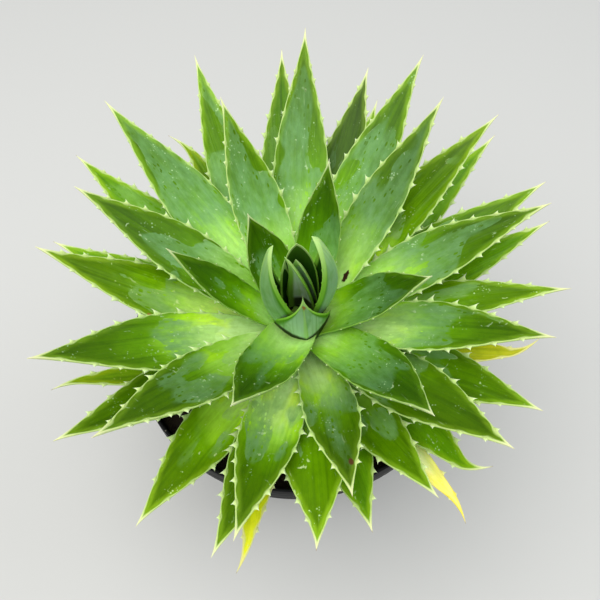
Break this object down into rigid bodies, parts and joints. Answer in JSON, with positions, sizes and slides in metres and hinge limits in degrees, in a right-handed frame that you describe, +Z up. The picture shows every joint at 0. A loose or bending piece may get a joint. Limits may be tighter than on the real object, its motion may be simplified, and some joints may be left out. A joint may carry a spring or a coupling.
{
  "type": "potted aloe",
  "caption": "Potted aloe: a dense rosette of toothed, lance-shaped leaves on a short stem, in soil in a plain round black nursery pot.",
  "frame": {"origin": "centre of the pot's foot, on the surface it stands on", "axes": "+Z up along the pot's axis; -Y is the side that faces the viewer; +X to the viewer's right"},
  "size_m": [0.2556, 0.275, 0.2426],
  "materials": {
    "pot_plastic": "satin",
    "potting_mix": "matte",
    "stem_flesh": "matte",
    "young_leaf": "gloss",
    "green_leaf": "satin",
    "old_leaf": "satin",
    "yellow_leaf": "satin"
  },
  "bodies": {
    "root": {"pot": "pot_plastic", "soil": "potting_mix", "stem": "stem_flesh", "leaf_bud_heart": "young_leaf", "leaf_bud_left_inner": "young_leaf", "leaf_bud_right_front": "young_leaf", "leaf_bud_back": "young_leaf", "leaf_bud_left": "young_leaf", "leaf_bud_right": "young_leaf", "leaf_bud_front": "young_leaf", "leaf_inner_front_left": "young_leaf", "leaf_inner_back_left": "young_leaf", "leaf_inner_right": "young_leaf", "leaf_inner_back": "young_leaf", "leaf_inner_front_right": "young_leaf", "leaf_inner_left": "young_leaf", "leaf_second_back_right": "green_leaf", "leaf_second_front_left": "green_leaf", "leaf_second_back_left": "green_leaf", "leaf_second_right_front": "green_leaf", "leaf_second_front": "green_leaf", "leaf_second_left_back": "green_leaf", "leaf_second_back": "green_leaf", "leaf_second_left": "green_leaf", "leaf_second_right": "green_leaf", "leaf_second_front_tip": "green_leaf", "leaf_outer_front_right": "green_leaf", "leaf_outer_back": "green_leaf", "leaf_outer_left": "green_leaf", "leaf_outer_back_right": "green_leaf", "leaf_outer_back_left": "green_leaf", "leaf_outer_right": "green_leaf", "leaf_outer_front": "green_leaf", "leaf_outer_left_front": "green_leaf", "leaf_outer_back_narrow": "green_leaf", "leaf_outer_right_back": "green_leaf", "leaf_outer_far_left": "green_leaf", "leaf_outer_front_corner": "green_leaf", "leaf_outer_right_low": "green_leaf", "leaf_outer_front_blade": "green_leaf", "leaf_low_back_left": "old_leaf", "leaf_low_front": "old_leaf", "leaf_low_right": "old_leaf", "leaf_low_back": "old_leaf", "leaf_outer_front_wide": "old_leaf", "leaf_low_front_right": "old_leaf", "leaf_low_back_right": "old_leaf", "leaf_low_left": "old_leaf", "leaf_low_far_back": "old_leaf", "leaf_low_left_hooked": "old_leaf", "leaf_old_left_yellow": "yellow_leaf", "leaf_old_right_yellow": "yellow_leaf", "leaf_old_front_yellow": "yellow_leaf", "leaf_old_front_right_yellow": "yellow_leaf"}
  },
  "joints": []
}
